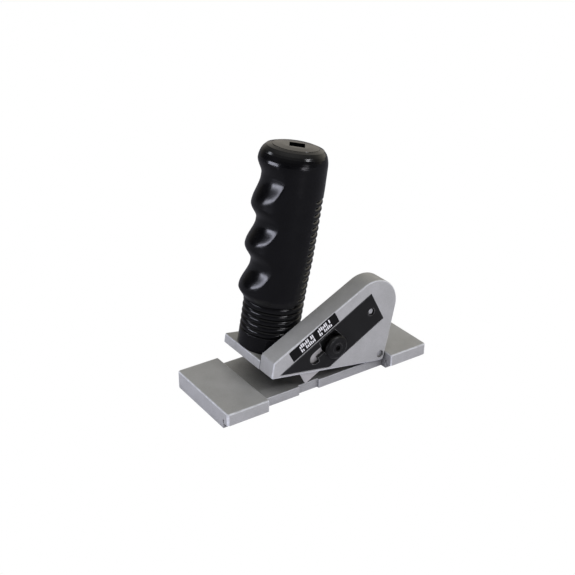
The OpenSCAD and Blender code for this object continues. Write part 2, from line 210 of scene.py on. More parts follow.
def loop(outline, inset=0.0, steps=6):
    """Points of an outline moved inwards by inset, with its corners rounded."""
    p = np.array([corner[:2] for corner in outline], float)
    radii = [corner[2] if len(corner) > 2 else None for corner in outline]
    ahead = np.roll(p, -1, 0) - p
    ahead /= np.linalg.norm(ahead, axis=1)[:, None]
    back = np.roll(ahead, 1, 0)
    inward = np.stack([-ahead[:, 1], ahead[:, 0]], 1)
    before = np.stack([-back[:, 1], back[:, 0]], 1)
    alike = np.sum(inward * before, 1)[:, None]
    moved = p + (inward + before) / (1 + alike) * inset
    turn = back[:, 0] * ahead[:, 1] - back[:, 1] * ahead[:, 0]
    out = []
    for here, r, leave, enter, bend in zip(moved, radii, ahead, back, turn):
        if not r or abs(bend) < 0.01:
            out.append(tuple(here))
            continue
        r = max(r - inset if bend > 0 else r + inset, 0.0)
        half = math.atan2(abs(bend), float(leave @ enter)) / 2
        inner = np.array([-enter[1], enter[0]]) * math.copysign(1, bend)
        start = here - enter * r * math.tan(half)
        centre = start + inner * r
        for k in range(steps + 1):
            angle = 2 * half * k / steps
            out.append(tuple(centre - inner * r * math.cos(angle) + enter * r * math.sin(angle)))
    return out


def prism(name, outer, holes, low, high, soft_low, soft_high, place, steps=4):
    """An extruded outline with holes, whose end edges are rounded by soft_low and soft_high."""
    stations = []
    for i in range(steps + 1):
        turn = math.pi / 2 * i / steps
        stations.append((soft_low * (1 - math.sin(turn)), low + soft_low * (1 - math.cos(turn))))
    for i in range(steps, -1, -1):
        turn = math.pi / 2 * i / steps
        stations.append((soft_high * (1 - math.sin(turn)), high - soft_high * (1 - math.cos(turn))))
    verts, faces, starts = [], [], []
    for sign, outline in [(1, outer)] + [(-1, hole) for hole in holes]:
        count = len(loop(outline))
        start = len(verts)
        starts.append((start, count))
        for distance, t in stations:
            verts += [(p, q, t) for p, q in loop(outline, sign * distance)]
        for row in range(len(stations) - 1):
            for i in range(count):
                a = start + row * count + i
                b = start + row * count + (i + 1) % count
                faces.append((a, b, b + count, a + count))
    for row in (0, len(stations) - 1):
        loops, flat = [], []
        for start, count in starts:
            ids = [start + row * count + i for i in range(count)]
            ids = [v for i, v in enumerate(ids) if math.dist(verts[v], verts[ids[i - 1]]) > MERGE]
            loops.append([Vector(verts[i]) for i in ids])
            flat += ids
        faces += [tuple(flat[i] for i in tri) for tri in tessellate_polygon(loops)]
    return mesh_object(name, verts, faces, place)


def revolve(name, profile, place, steps=96):
    """A closed profile of (radius, t) points turned about the t axis."""
    verts, faces = [], []
    count = len(profile)
    for k in range(steps):
        turn = 2 * math.pi * k / steps
        verts += [(r * math.cos(turn), r * math.sin(turn), t) for r, t in profile]
    for k in range(steps):
        for i in range(count):
            a = k * count + i
            b = k * count + (i + 1) % count
            c = ((k + 1) % steps) * count
            faces.append((a, b, c + (i + 1) % count, c + i))
    return mesh_object(name, verts, faces, place)


def combine(obj, other, operation):
    """Boolean of obj with other, which is used up."""
    step = obj.modifiers.new("cut", "BOOLEAN")
    step.operation = operation
    step.solver = "MANIFOLD"
    step.object = other
    graph = bpy.context.evaluated_depsgraph_get()
    mesh = bpy.data.meshes.new_from_object(obj.evaluated_get(graph))
    obj.modifiers.clear()
    obj.data = mesh
    bpy.data.objects.remove(other)
    return obj


def cut(obj, *others):
    for other in others:
        combine(obj, other, "DIFFERENCE")
    return obj


def add(obj, *others):
    for other in others:
        combine(obj, other, "UNION")
    return obj


def bar(place, cx, cy, r, low, high, edge=0.0, steps=64):
    return prism("bar", ring(cx, cy, r, steps), [], low, high, edge, edge, place)


def dress(obj, body, material, slot, *nodes, crease=35.0, weighted=True):
    """Shading, material, body and the CAD nodes that a finished piece stands for."""
    mesh = obj.data
    mesh.materials.clear()
    mesh.materials.append(material)
    mesh.shade_smooth()
    mesh.set_sharp_from_angle(angle=math.radians(crease))
    if weighted:
        step = obj.modifiers.new("flat_normals", "WEIGHTED_NORMAL")
        step.keep_sharp = True
    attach(obj, body)
    if nodes:
        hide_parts(*nodes)
    return obj


def finish_node(node, material):
    """A CAD node that is shown as it is, with its own material."""
    obj = frame["nodes"][node]
    obj.data.materials.clear()
    obj.data.materials.append(material)
    return obj


# ---- Materials ----

# Painted shade: how dark moulded plastic is painted in its deepest recesses, as a share of its open colour.
PAINTED_SHADE_LOW = 0.14
# Shares of open sky between which the painted shade goes from darkest to the full colour.
PAINTED_SHADE_RANGE = (0.12, 0.5)
# Likeness of the rounded and the true normal, between an edge and a flat face.
EDGE_LIKENESS = (0.94, 0.997)
# Shares of a direction in the normal of a rounded edge: it must look partly along, and partly across.
EDGE_ACROSS = (0.12, 0.4)
EDGE_ALONG = (0.88, 0.985)


class Graph:
    """A material's node tree, with short ways to add nodes and links."""

    def __init__(self, name):
        self.material = bpy.data.materials.new(name)
        self.material.use_nodes = True
        self.tree = self.material.node_tree
        self.tree.nodes.clear()

    def add(self, kind, inputs=None, **settings):
        node = self.tree.nodes.new("ShaderNode" + kind)
        for key, value in settings.items():
            setattr(node, key, value)
        for key, value in (inputs or {}).items():
            if isinstance(value, bpy.types.NodeSocket):
                self.tree.links.new(value, node.inputs[key])
            else:
                node.inputs[key].default_value = value
        return node

    def noise(self, where, size, detail=3.0, rough=0.55):
        """Noise from 0 to 1 whose features are about size metres across."""
        inputs = {"Vector": where, "Scale": 1 / size, "Detail": detail, "Roughness": rough}
        return self.add("TexNoise", inputs).outputs["Fac"]

    def spread(self, value, low, high, start=0.3, end=0.7):
        """A value that goes from low to high as the input goes from start to end."""
        inputs = {"Value": value, "From Min": start, "From Max": end, "To Min": low, "To Max": high}
        return self.add("MapRange", inputs).outputs["Result"]

    def mix(self, share, first, second, blend="MIX"):
        inputs = {"Fac": share, "Color1": first, "Color2": second}
        return self.add("MixRGB", inputs, blend_type=blend).outputs["Color"]

    def dim(self, color, share):
        """A colour multiplied by one number."""
        share = self.add("CombineColor", {0: share, 1: share, 2: share}).outputs[0]
        return self.mix(1.0, color, share, "MULTIPLY")

    def math(self, operation, first, second=0.0):
        inputs = {0: first, 1: second}
        return self.add("Math", inputs, operation=operation).outputs["Value"]

    def edges(self, width):
        """About 1 on convex and concave edges and 0 on flat faces."""
        soft = self.add("Bevel", {"Radius": width}, samples=4).outputs["Normal"]
        true = self.add("NewGeometry").outputs["Normal"]
        alike = self.add("VectorMath", {0: soft, 1: true}, operation="DOT_PRODUCT")
        return self.spread(alike.outputs["Value"], 1.0, 0.0, *EDGE_LIKENESS)

    def rounded(self, directions):
        """1 on the rounded edges of a piece whose faces look along or across the directions."""
        normal = self.add("NewGeometry").outputs["Normal"]
        total = 0.0
        for direction in directions:
            facing = self.add("VectorMath", {0: normal, 1: direction}, operation="DOT_PRODUCT")
            facing = self.math("ABSOLUTE", facing.outputs["Value"])
            across = self.spread(facing, 0.0, 1.0, *EDGE_ACROSS)
            along = self.spread(facing, 1.0, 0.0, *EDGE_ALONG)
            total = self.math("MAXIMUM", total, self.math("MULTIPLY", across, along))
        return total

    def bump(self, height, depth, normal=None):
        inputs = {"Height": height, "Distance": depth, "Strength": 1.0}
        if normal is not None:
            inputs["Normal"] = normal
        return self.add("Bump", inputs).outputs["Normal"]


def grey(level, tint=(1.0, 1.0, 1.0)):
    return (level * tint[0], level * tint[1], level * tint[2], 1.0)


def surface(
    name,
    color,
    other,
    rough=(0.4, 0.5),
    metallic=0.0,
    specular=0.5,
    mottle=0.012,
    grain=0.0004,
    depth=0.00001,
    stretch=(1, 1, 1),
    wear_and_edge_highlight=None,
    edge_wear_and_highlight_width=0.0004,
    lines=0.0,
    painted_shade_reach=0.0,
    speckle=0.06,
    edge_directions=(),
):
    """A surface with mottled colour, uneven roughness, fine grain, edges lightened to another colour
    (rubbing, and on the grey plastics and the satin clamp also painted edge highlight), and painted shade
    in recesses when a reach for it is given.
    """
    g = Graph(name)
    place = g.add("TexCoord").outputs["Object"]
    along = g.add("Mapping", {"Vector": place, "Scale": stretch}).outputs["Vector"]
    blotch = g.spread(g.noise(place, mottle, 5.0), 0.0, 1.0)
    shade = g.mix(blotch, color, other)
    fine = g.noise(along, grain, 4.0, 0.6)
    shade = g.dim(shade, g.spread(fine, 1 - speckle, 1 + speckle))
    smear = g.noise(along, mottle / 3, 4.0)
    polish = g.spread(smear, rough[0], rough[1])
    # Edges lightened by the mask and noise: rubbed edges, and on the grey plastics and the satin clamp also
    # painted edge highlight.
    if wear_and_edge_highlight is not None:
        mask = g.rounded(edge_directions) if edge_directions else g.edges(edge_wear_and_highlight_width)
        worn_and_lit = g.math("MULTIPLY", mask, g.spread(g.noise(place, 0.002, 4.0), 0.4, 1.0))
        shade = g.mix(worn_and_lit, shade, wear_and_edge_highlight)
    # Painted shade: the colour is darkened where little open sky is seen, in recesses and under other parts
    # such as the deck under the lever.
    if painted_shade_reach:
        open_sky = g.add("AmbientOcclusion", {"Distance": painted_shade_reach}, samples=6).outputs["AO"]
        shade = g.dim(shade, g.spread(open_sky, PAINTED_SHADE_LOW, 1.0, *PAINTED_SHADE_RANGE))
    height = fine
    if lines:
        height = g.math("ADD", fine, g.math("MULTIPLY", g.noise(along, grain * 6, 2.0), lines))
    normal = g.bump(height, depth)
    inputs = {
        "Base Color": shade,
        "Roughness": polish,
        "Metallic": metallic,
        "Specular IOR Level": specular,
        "Normal": normal,
    }
    shader = g.add("BsdfPrincipled", inputs).outputs["BSDF"]
    g.add("OutputMaterial", {"Surface": shader})
    return g.material


def moulded_grey(name, level, edge_directions):
    return surface(
        name,
        grey(level, (1.0, 1.0, 0.985)),
        grey(level * 0.86, (1.0, 1.0, 0.97)),
        rough=(0.33, 0.46),
        mottle=0.011,
        grain=0.0005,
        depth=0.00002,
        # Lighter rounded edges: partly rubbing, partly painted edge highlight, as if light caught each
        # rounded edge.
        wear_and_edge_highlight=grey(min(level * 1.8, 0.85), (0.98, 1.0, 1.03)),
        edge_directions=edge_directions,
        # Painted shade in recesses, reaching 35 mm.
        painted_shade_reach=0.035,
        speckle=0.09,
    )


def gloss_black():
    return surface(
        "gloss_black",
        grey(0.0050, (0.95, 0.95, 1.1)),
        grey(0.0035, (0.95, 0.95, 1.1)),
        rough=(0.14, 0.22),
        specular=0.35,
        mottle=0.01,
        grain=0.0006,
        depth=0.000006,
    )


def satin_black():
    return surface(
        "satin_black",
        grey(0.012),
        grey(0.016),
        rough=(0.3, 0.42),
        specular=0.25,
        grain=0.0003,
        depth=0.000006,
        # Lighter edges: partly rubbing, partly painted edge highlight along the clamp's edges.
        wear_and_edge_highlight=grey(0.3),
        edge_wear_and_highlight_width=0.0004,
    )


def black_oxide():
    return surface(
        "black_oxide",
        grey(0.012),
        grey(0.018),
        rough=(0.26, 0.4),
        metallic=0.3,
        grain=0.0003,
        depth=0.000006,
        wear_and_edge_highlight=grey(0.09),
        edge_wear_and_highlight_width=0.0002,
    )


def label_film():
    return surface(
        "label_film",
        grey(0.004),
        grey(0.006),
        rough=(0.3, 0.4),
        specular=0.3,
        grain=0.0003,
        depth=0.000003,
    )


def print_white():
    return surface(
        "print_white",
        grey(0.9),
        grey(0.78),
        rough=(0.5, 0.6),
        mottle=0.001,
        grain=0.0002,
        depth=0.000002,
    )


def ground_steel():
    return surface(
        "ground_steel",
        grey(0.62, (1.0, 0.975, 0.95)),
        grey(0.52, (1.0, 0.98, 0.96)),
        rough=(0.3, 0.42),
        metallic=0.3,
        mottle=0.006,
        grain=0.0002,
        depth=0.000003,
        stretch=(0.1, 1.0, 1.0),
        lines=0.6,
        wear_and_edge_highlight=grey(0.8),
        edge_wear_and_highlight_width=0.0002,
    )


def zinc_steel():
    return surface(
        "zinc_steel",
        grey(0.58),
        grey(0.46, (0.97, 0.98, 1.0)),
        rough=(0.28, 0.44),
        metallic=0.4,
        mottle=0.003,
        grain=0.00025,
        depth=0.000004,
        wear_and_edge_highlight=grey(0.75),
        edge_wear_and_highlight_width=0.0003,
    )


def spring_wire():
    return surface(
        "spring_wire",
        grey(0.36),
        grey(0.26),
        rough=(0.25, 0.4),
        metallic=1.0,
        mottle=0.002,
        grain=0.00015,
        depth=0.000003,
    )


def turned_brass():
    return surface(
        "turned_brass",
        (0.62, 0.45, 0.2, 1.0),
        (0.5, 0.35, 0.15, 1.0),
        rough=(0.25, 0.4),
        metallic=1.0,
        mottle=0.002,
        grain=0.0002,
        depth=0.000004,
        stretch=(1.0, 0.1, 1.0),
    )


def nylon():
    return surface(
        "nylon",
        (0.7, 0.68, 0.6, 1.0),
        (0.62, 0.6, 0.53, 1.0),
        rough=(0.45, 0.6),
        mottle=0.002,
        grain=0.0002,
        depth=0.000004,
    )


def core_plastic():
    return surface(
        "core_plastic",
        grey(0.26),
        grey(0.2),
        rough=(0.4, 0.6),
        grain=0.0003,
        depth=0.00001,
        stretch=(1.0, 1.0, 6.0),
    )


BASE_GREY = moulded_grey("base_grey", 0.46, ((0, 1, 0), (0, 0, 1)))
LEVER_GREY = moulded_grey("lever_grey", 0.45, ((0, 1, 0),))
PLATFORM_GREY = moulded_grey("platform_grey", 0.45, ((0, 1, 0), (0, 0, 1)))
GLOSS_BLACK = gloss_black()
SATIN_BLACK = satin_black()
BLACK_OXIDE = black_oxide()
LABEL_FILM = label_film()
PRINT_WHITE = print_white()
GROUND_STEEL = ground_steel()
ZINC_STEEL = zinc_steel()
SPRING_WIRE = spring_wire()
BRASS = turned_brass()
NYLON = nylon()
CORE = core_plastic()


# ---- Base ----


def end_block(x0, x1, radii):
    """One end block, with the lip along its near edge and the relief above the fence face."""
    wall = BASE_LO.y + LIP_W
    corners = rectangle(x0, x1, BASE_LO.y, BASE_HI.y)
    block = prism("block", soft(corners, radii), [], 0, BLOCK_H, *BLOCK_ROUND, ROW_XY)
    under = [
        (BASE_LO.y - OVER, -OVER),
        (wall, -OVER),
        (wall, LIP_GAP - RELIEF_BITE),
        (wall + RELIEF_BITE, LIP_GAP - RELIEF_BITE),
        (wall + RELIEF_BITE, LIP_GAP + RELIEF_H),
        (wall + RELIEF_BITE - RELIEF_W, LIP_GAP + RELIEF_H),
        (wall + RELIEF_BITE - RELIEF_W, LIP_GAP),
        (BASE_LO.y - OVER, LIP_GAP),
    ]
    return cut(block, prism("under", soft(under, 0.15), [], x0 - OVER, x1 + OVER, 0, 0, ROW_YZ))


def deck(inner_left, inner_right):
    """The thin deck between the blocks, with the notch in its near face."""
    near = BASE_LO.y + DECK_INSET
    far = BASE_HI.y - 0.05
    notch = BASE_LO.x + NOTCH_START
    outline = [
        (inner_left - SUNK, near),
        (notch, near),
        (notch, near + NOTCH_DEPTH),
        (notch + NOTCH_L, near + NOTCH_DEPTH),
        (notch + NOTCH_L, near),
        (inner_right + SUNK, near),
        (inner_right + SUNK, far),
        (inner_left - SUNK, far),
    ]
    radii = [0] + [NOTCH_CORNER] * 4 + [0] * 3
    return prism("deck", soft(outline, radii), [], SLIP, DECK_H, *DECK_ROUND, ROW_XY)


def hinge_lug(block_x, mid):
    """The lug that stands in front of the right block and holds the hinge pin."""
    back_x = block_x + LUG_SUNK
    outline = [(HINGE.x - LUG_R, DECK_H - OVER), (back_x, DECK_H - OVER), (back_x, HINGE.z - LUG_BACK_DROP)]
    outline += arc(HINGE.x, HINGE.z, LUG_R, 0, 180, 24)
    return prism("lug", outline, [], mid - LUG_T / 2, mid + LUG_T / 2, *LUG_ROUND, ROW_XZ)


def base_body():
    inner_left = BASE_LO.x + BLOCK_L
    inner_right = BASE_HI.x - BLOCK_L
    middle = deck(inner_left, inner_right)
    left = end_block(BASE_LO.x, inner_left, [OUTER_CORNER, INNER_CORNER, INNER_CORNER, OUTER_CORNER])
    right = end_block(inner_right, BASE_HI.x, [INNER_CORNER, OUTER_CORNER, OUTER_CORNER, INNER_CORNER])
    mid = SIDE_LO.y + SIDE_T / 2
    body = add(left, right, middle, hinge_lug(inner_right, mid))
    bore = bar(ROW_XZ, HINGE.x, HINGE.z, BUSH_R, mid - LUG_T, mid + LUG_T)
    seat = bar(ROW_XY, SPRING_X, SPRING_Y, SEAT_R, SPRING_LO.z, DECK_H + OVER)
    cut(body, bore, seat)
    body.name = "base_body"
    return dress(body, "base", BASE_GREY, "base", "base_plate")


base_body()
finish_node("hinge_bush", BRASS)
finish_node("hinge_washers", NYLON)


# ---- Return spring ----

SPRING_R = 2.6
WIRE_R = 0.45
WIRE_END = 0.55
SPRING_TURNS = 7
# How much closer the end turns lie than the middle ones.
END_PINCH = 0.55
# Gap that the coil leaves at each end.
SPRING_GAP = 0.05


def return_spring():
    """A coil whose end turns lie close together, with its wire ends drawn in."""
    z0 = SPRING_LO.z + WIRE_R + SPRING_GAP
    rise = SPRING_HI.z - SPRING_LO.z - 2 * (WIRE_R + SPRING_GAP)
    steps = SPRING_TURNS * 40
    sides = 14
    verts, faces = [], []
    for i in range(steps + 1):
        s = i / steps
        turn = 2 * math.pi * SPRING_TURNS * s
        z = z0 + rise * (s - math.sin(2 * math.pi * s) / (2 * math.pi) * END_PINCH)
        r = WIRE_R * (WIRE_END if i in (0, steps) else 1.0)
        for k in range(sides):
            around = 2 * math.pi * k / sides
            out = SPRING_R + r * math.cos(around)
            x = SPRING_X + out * math.cos(turn)
            y = SPRING_Y + out * math.sin(turn)
            verts.append((x, y, z + r * math.sin(around)))
    for i in range(steps):
        for k in range(sides):
            a = i * sides + k
            b = i * sides + (k + 1) % sides
            faces.append((a, b, b + sides, a + sides))
    faces.append(tuple(range(sides)))
    faces.append(tuple(steps * sides + k for k in range(sides)))
    spring = mesh_object("spring_coil", verts, faces)
    dress(spring, "base", SPRING_WIRE, "spring_steel", "return_spring", crease=60, weighted=False)
    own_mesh(spring)
    return spring


return_spring()


# ---- Lever ----

# Clamp, blade and label in the clamp's a and b, which start at the clamp screw's axis.
CLAMP_LEFT = -32.0
CLAMP_RIGHT = 30.4
CLAMP_EDGE = -8.2
CLAMP_BACK = 10.4
# Height above the side plate's bottom edge at which the clamp plate is cut off.
CLAMP_CUT_W = 1.7
POCKET_GAP = 0.15
POCKET_CORNER = 0.3
BLADE_EDGE = 7.5
BLADE_BACK = 10.1
BLADE_END = 28.6
BLADE_TRAVEL = 3.0
LABEL = (-22.7, 8.3, 11.0, 17.4)
LABEL_T = 0.3
LABEL_GAP = 0.1
DOWEL = (26.0, 0.8)
DOWEL_R = 1.4
DOWEL_HOLE_GAP = 0.65
INSERT_R = 4.0
INSERT_L = 7.7
INSERT_PLATE = (-6.1, 7.1, -2.8, 9.0)
INSERT_PLATE_T = 1.2
PLATE_GAP = 0.05
SIDE_ROUND = (0.9, 0.7)
# Rounding of the side plate's toe, heel and upper left corner.
TOE_R = 1.0
HEEL_R = 2.0
BROW_R = 1.2
BOSS_ROUND = 0.8
PLATFORM_ROUND = (0.5, 0.7)
PLATFORM_CORNERS = (0.1, 0.1, 1.2, 1.2)
PIN_ROUND = (0.3, 0.3)
PIN_MOUTH_SHIFT = 0.3
PIN_MOUTH_L = 1.15
DOWEL_L = 7.0
# Length, depth and height of the boss that the spring pushes on.
SPRING_BOSS = (12.0, 11.0, 12.5)
SPRING_HOLE_R = 4.6
SPRING_HOLE_W = 9.0
SPRING_U = HINGE_U - 22.7
# Start, length and depth of the platform's tenon.
TENON = (3.0, 28.0, 6.0)
TENON_GAP = 0.1
SCREW3_U = (8.0, 17.0, 26.0)
SCREW3_R = 1.5
SCREW3_TIP_W = 9.8
SINK_R = 2.85
SINK_T = 1.8
SINK_OVER = 0.5
BOLT_HOLE_R = 3.2
BOLT_HEAD_R = 6.2
BOLT_HEAD_T = 2.4


def clamp_to_lever(a, b):
    """A point of the clamp's a and b in the lever's u and w."""
    spot = LEVER_UW.inverted() @ (CLAMP_AB @ Vector((a, b, 0)))
    return spot.x, spot.y


def clamp_outline(gap, corner_r):
    """The clamp plate's outline in u and w: a long bar cut off level near its lower end."""
    low = CLAMP_CUT_W - gap
    bottom, right = CLAMP_EDGE - gap, CLAMP_RIGHT + gap
    top, left = CLAMP_BACK + gap, CLAMP_LEFT - gap
    corners = [Vector(clamp_to_lever(a, b)) for a, b in rectangle(left, right, bottom, top)]

    def crossing(p, q):
        share = (low - p.y) / (q.y - p.y)
        return p + (q - p) * share

    first = crossing(corners[0], corners[1])
    if corners[3].y > low:
        last = [corners[3], crossing(corners[3], corners[0])]
    else:
        last = [crossing(corners[2], corners[3])]
    return soft([tuple(p) for p in [first, corners[1], corners[2]] + last], corner_r)


def side_outline():
    """A wedge whose round nose touches the leaning right edge and the slope."""
    edge = math.cos(LEAN) * SIDE_L - math.sin(LEAN) * LEAN_LOW - NOSE_R
    slope = math.cos(SIDE_SLOPE) * SIDE_H - NOSE_R
    between = math.cos(LEAN + SIDE_SLOPE)
    nose_u = (edge * math.cos(SIDE_SLOPE) + slope * math.sin(LEAN)) / between
    nose_w = (slope * math.cos(LEAN) + edge * math.sin(SIDE_SLOPE)) / between
    top = 90 + math.degrees(SIDE_SLOPE)
    nose = arc(nose_u, nose_w, NOSE_R, -math.degrees(LEAN), top, 44)
    points = [(0, 0), (SIDE_L, 0), (SIDE_L, LEAN_LOW)] + nose + [(0, SIDE_H)]
    radii = [TOE_R, HEEL_R, 0] + [0] * len(nose) + [BROW_R]
    return soft(points, radii)


def lever_box(u0, u1, y0, y1, w0, w1, edge=0.0):
    """A box in the lever's frame, with all its edges rounded."""
    return prism("box", soft(rectangle(u0, u1, y0, y1), edge), [], w0, w1, edge, edge, LEVER)


def on_clamp(outline, y0, y1, edge=0.0):
    """A slab whose outline is drawn in the clamp's a and b."""
    return prism("slab", outline, [], y0, y1, edge, edge, CLAMP_AB)


def clamp_cutters():
    """Recesses for the clamp plate, the blade, the label, the insert and the dowel."""
    label = soft(rectangle(*LABEL, gap=LABEL_GAP), POCKET_CORNER)
    plate = rectangle(*INSERT_PLATE, gap=PLATE_GAP)
    channel = rectangle(
        -SIDE_L,
        BLADE_END + BLADE_TRAVEL + POCKET_GAP,
        -BLADE_EDGE - POCKET_GAP,
        BLADE_BACK + POCKET_GAP,
    )
    top = SIDE_LO.y - OVER
    seat = SIDE_LO.y + CLAMP_T
    bed = seat + BLADE_T
    return [
        prism("pocket", clamp_outline(POCKET_GAP, POCKET_CORNER), [], top, seat + SLIP, 0, 0, LEVER_UW),
        on_clamp(channel, seat - SLIP, bed + SLIP),
        on_clamp(label, top, SIDE_LO.y + LABEL_T + SLIP),
        bar(CLAMP_AB, 0, 0, INSERT_R, seat, bed + INSERT_L),
        on_clamp(plate, bed - BLADE_T / 2, bed + INSERT_PLATE_T + 2 * PLATE_GAP),
        bar(CLAMP_AB, *DOWEL, DOWEL_R, seat - CLAMP_T / 2, bed + DOWEL_L, steps=32),
    ]


def hinge_cutters():
    """The slot around the base's lug, the pin's bore, and the wider mouth of the bore."""
    near, far = SIDE_LO.y, SIDE_LO.y + SIDE_T
    mid = (near + far) / 2
    end = SIDE_L + OVER
    outline = [(HINGE_U - SLOT_R, -OVER), (end, -OVER), (end, HINGE_W + SLOT_R)]
    outline += arc(HINGE_U, HINGE_W, SLOT_R, 90, 180, 16)
    return [
        prism("slot", outline, [], mid - SLOT_T / 2, mid + SLOT_T / 2, 0, 0, LEVER_UW),
        bar(LEVER_UW, HINGE_U, HINGE_W, PIN_R, near - OVER, far + OVER),
        bar(LEVER_UW, HINGE_U - PIN_MOUTH_SHIFT, HINGE_W, PIN_MOUTH_R, near - OVER, near + PIN_MOUTH_L),
    ]


def platform_cutters():
    """The tenon's slot in the side plate's foot, and the holes of its screws."""
    far = SIDE_LO.y + SIDE_T
    start, length, depth = TENON
    low = far - depth - TENON_GAP
    top = PLATFORM_T + SLIP
    slot = lever_box(start - TENON_GAP, start + length + TENON_GAP, low, far + OVER, -OVER, top)
    screw_y = far - depth / 2
    return [slot] + [bar(LEVER, u, screw_y, SCREW3_R, -OVER, SCREW3_TIP_W, steps=32) for u in SCREW3_U]


def side_body():
    near, far = SIDE_LO.y, SIDE_LO.y + SIDE_T
    body = prism("side_body", side_outline(), [], near, far, *SIDE_ROUND, LEVER_UW)
    length, depth, height = SPRING_BOSS
    half = length / 2
    add(body, lever_box(SPRING_U - half, SPRING_U + half, far - SUNK, far + depth, 0, height, BOSS_ROUND))
    cut(body, *clamp_cutters(), *hinge_cutters(), *platform_cutters())
    cut(body, bar(LEVER, SPRING_U, SPRING_Y, SPRING_HOLE_R, -OVER, SPRING_HOLE_W))
    body.name = "side_body"
    return dress(body, "lever", LEVER_GREY, "lever", "side_plate")


def screw_sink(u, y):
    """A screw's clearance hole and the countersink for its head."""
    profile = [
        (AXIS_R, -SINK_OVER),
        (SINK_R + SINK_OVER, -SINK_OVER),
        (SINK_R, 0),
        (SCREW3_R, SINK_T),
        (AXIS_R, SINK_T),
    ]
    hole = bar(LEVER, u, y, SCREW3_R + 0.1, -OVER, PLATFORM_T + OVER, steps=32)
    return [hole, revolve("sink", profile, LEVER @ Matrix.Translation((u, y, 0)), 48)]


def platform_body():
    far = SIDE_LO.y + SIDE_T
    outline = soft(rectangle(0, PLATFORM_L, far + SLIP, PLATFORM_HI.y), PLATFORM_CORNERS)
    body = prism("platform", outline, [], 0, PLATFORM_T, *PLATFORM_ROUND, LEVER)
    start, length, depth = TENON
    add(body, lever_box(start, start + length, far - depth, far + SUNK, SLIP, PLATFORM_T - 0.05))
    for u in SCREW3_U:
        cut(body, *screw_sink(u, far - depth / 2))
    cut(body, bar(LEVER, GRIP_U, GRIP_Y, BOLT_HOLE_R, -OVER, PLATFORM_T + OVER))
    cut(body, bar(LEVER, GRIP_U, GRIP_Y, BOLT_HEAD_R, -OVER, BOLT_HEAD_T))
    body.name = "platform_body"
    return dress(body, "lever", PLATFORM_GREY, "lever", "grip_platform")


side_body()
platform_body()
finish_node("platform_screws", ZINC_STEEL)
finish_node("clamp_insert", BLACK_OXIDE)


def pin(name, node, place, cx, cy, r):
    """A steel pin with rounded ends, as long as its CAD node."""
    low, high = (corner.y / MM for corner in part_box(node))
    piece = prism(name, ring(cx, cy, r, 48), [], low, high, *PIN_ROUND, place)
    return dress(piece, "lever", ZINC_STEEL, "steel", node)


pin("hinge_pin_round", "hinge_pin", LEVER_UW, HINGE_U, HINGE_W, PIN_R)
pin("dowel_round", "locating_pin", CLAMP_AB, *DOWEL, DOWEL_R - SLIP)

# ---- Blade and clamp ----

# Left, right and back of the window, and how far its right end slants each way.
WINDOW = (-6.4, 5.4, 9.3)
WINDOW_SLANT = 1.2
# Centre and radius of the hook's bend.
HOOK = (-12.0, 2.9, 3.4)
# Tip of the tongue that stands inside the hook.
TONGUE = (-10.9, 1.9)
CLAMP_BORE_R = 2.8
CLAMP_CORNER = 0.6
CLAMP_ROUND = (0.35, 0.1)
LABEL_CORNER = 0.25
LABEL_ROUND = 0.08
finish_node("blade", GROUND_STEEL)


def window_outline():
    """The window over the blade's hole, with the hooked slot that shows the blade."""
    left, right, back = WINDOW
    hook_a, hook_b, hook_r = HOOK
    tongue_a, tongue_b = TONGUE
    bend = arc(hook_a, hook_b, hook_r, 90, 270, 24)
    points = [
        (tongue_a, tongue_b),
        (left, tongue_b),
        (left, 0.0),
        (right + WINDOW_SLANT, 0.0),
        (right - WINDOW_SLANT, back),
        (left, back),
        (left, hook_b + hook_r),
        *bend,
        (tongue_a, hook_b - hook_r),
    ]
    return soft(points, [0.2, 0.2, 0.4, 0.5, 0.5, 0.4, 0.3] + [0] * len(bend) + [0.2])


def clamp_body():
    near = SIDE_LO.y
    low, high = near - OVER, near + CLAMP_T + OVER
    outline = clamp_outline(0, CLAMP_CORNER)
    body = prism("clamp", outline, [], near, near + CLAMP_T, *CLAMP_ROUND, LEVER_UW)
    window = on_clamp(window_outline(), low, high)
    bore = bar(CLAMP_AB, 0, 0, CLAMP_BORE_R, low, high, steps=48)
    hole = bar(CLAMP_AB, *DOWEL, DOWEL_R + DOWEL_HOLE_GAP, low, high, steps=40)
    cut(body, window, bore, hole)
    body.name = "clamp_body"
    return dress(body, "lever", SATIN_BLACK, "clamp", "clamp_plate")


clamp_body()


def label_body():
    near = SIDE_LO.y
    body = on_clamp(soft(rectangle(*LABEL), LABEL_CORNER), near, near + LABEL_T, LABEL_ROUND)
    body.name = "label_strip"
    return dress(body, "lever", LABEL_FILM, "label", "label_plate")


label_body()

# Two generic groups of marks on the label, as left end and count, in two rows, as foot and height.
MARK_GROUPS = ((-16.6, 9), (-4.3, 8))
MARK_ROWS = ((12.0, 2.0), (14.5, 2.3))
MARK_PITCH = 1.06
MARK_W = 0.7
MARK_RAISED = 0.03
MARK_SUNK = 0.05
SHORT_MARK = 0.7


def label_marks():
    """Short upright marks; some are left out and every third one is short."""
    verts, faces = [], []
    near = SIDE_LO.y
    for left, count in MARK_GROUPS:
        for row, (low, tall) in enumerate(MARK_ROWS):
            for i in range(count):
                if (3 * i + 2 * row) % 7 == 6:
                    continue
                a = left + i * MARK_PITCH
                high = low + tall * (SHORT_MARK if (i + row) % 3 == 1 else 1.0)
                k = len(verts)
                for y in (near - MARK_RAISED, near + MARK_SUNK):
                    verts += [(p, q, y) for p, q in rectangle(a, a + MARK_W, low, high)]
                faces += [(k, k + 1, k + 2, k + 3), (k + 4, k + 5, k + 6, k + 7)]
                for j in range(4):
                    n = (j + 1) % 4
                    faces.append((k + j, k + n, k + 4 + n, k + 4 + j))
    marks = mesh_object("label_marks", verts, faces, CLAMP_AB)
    return dress(marks, "lever", PRINT_WHITE, "label", weighted=False)


label_marks()

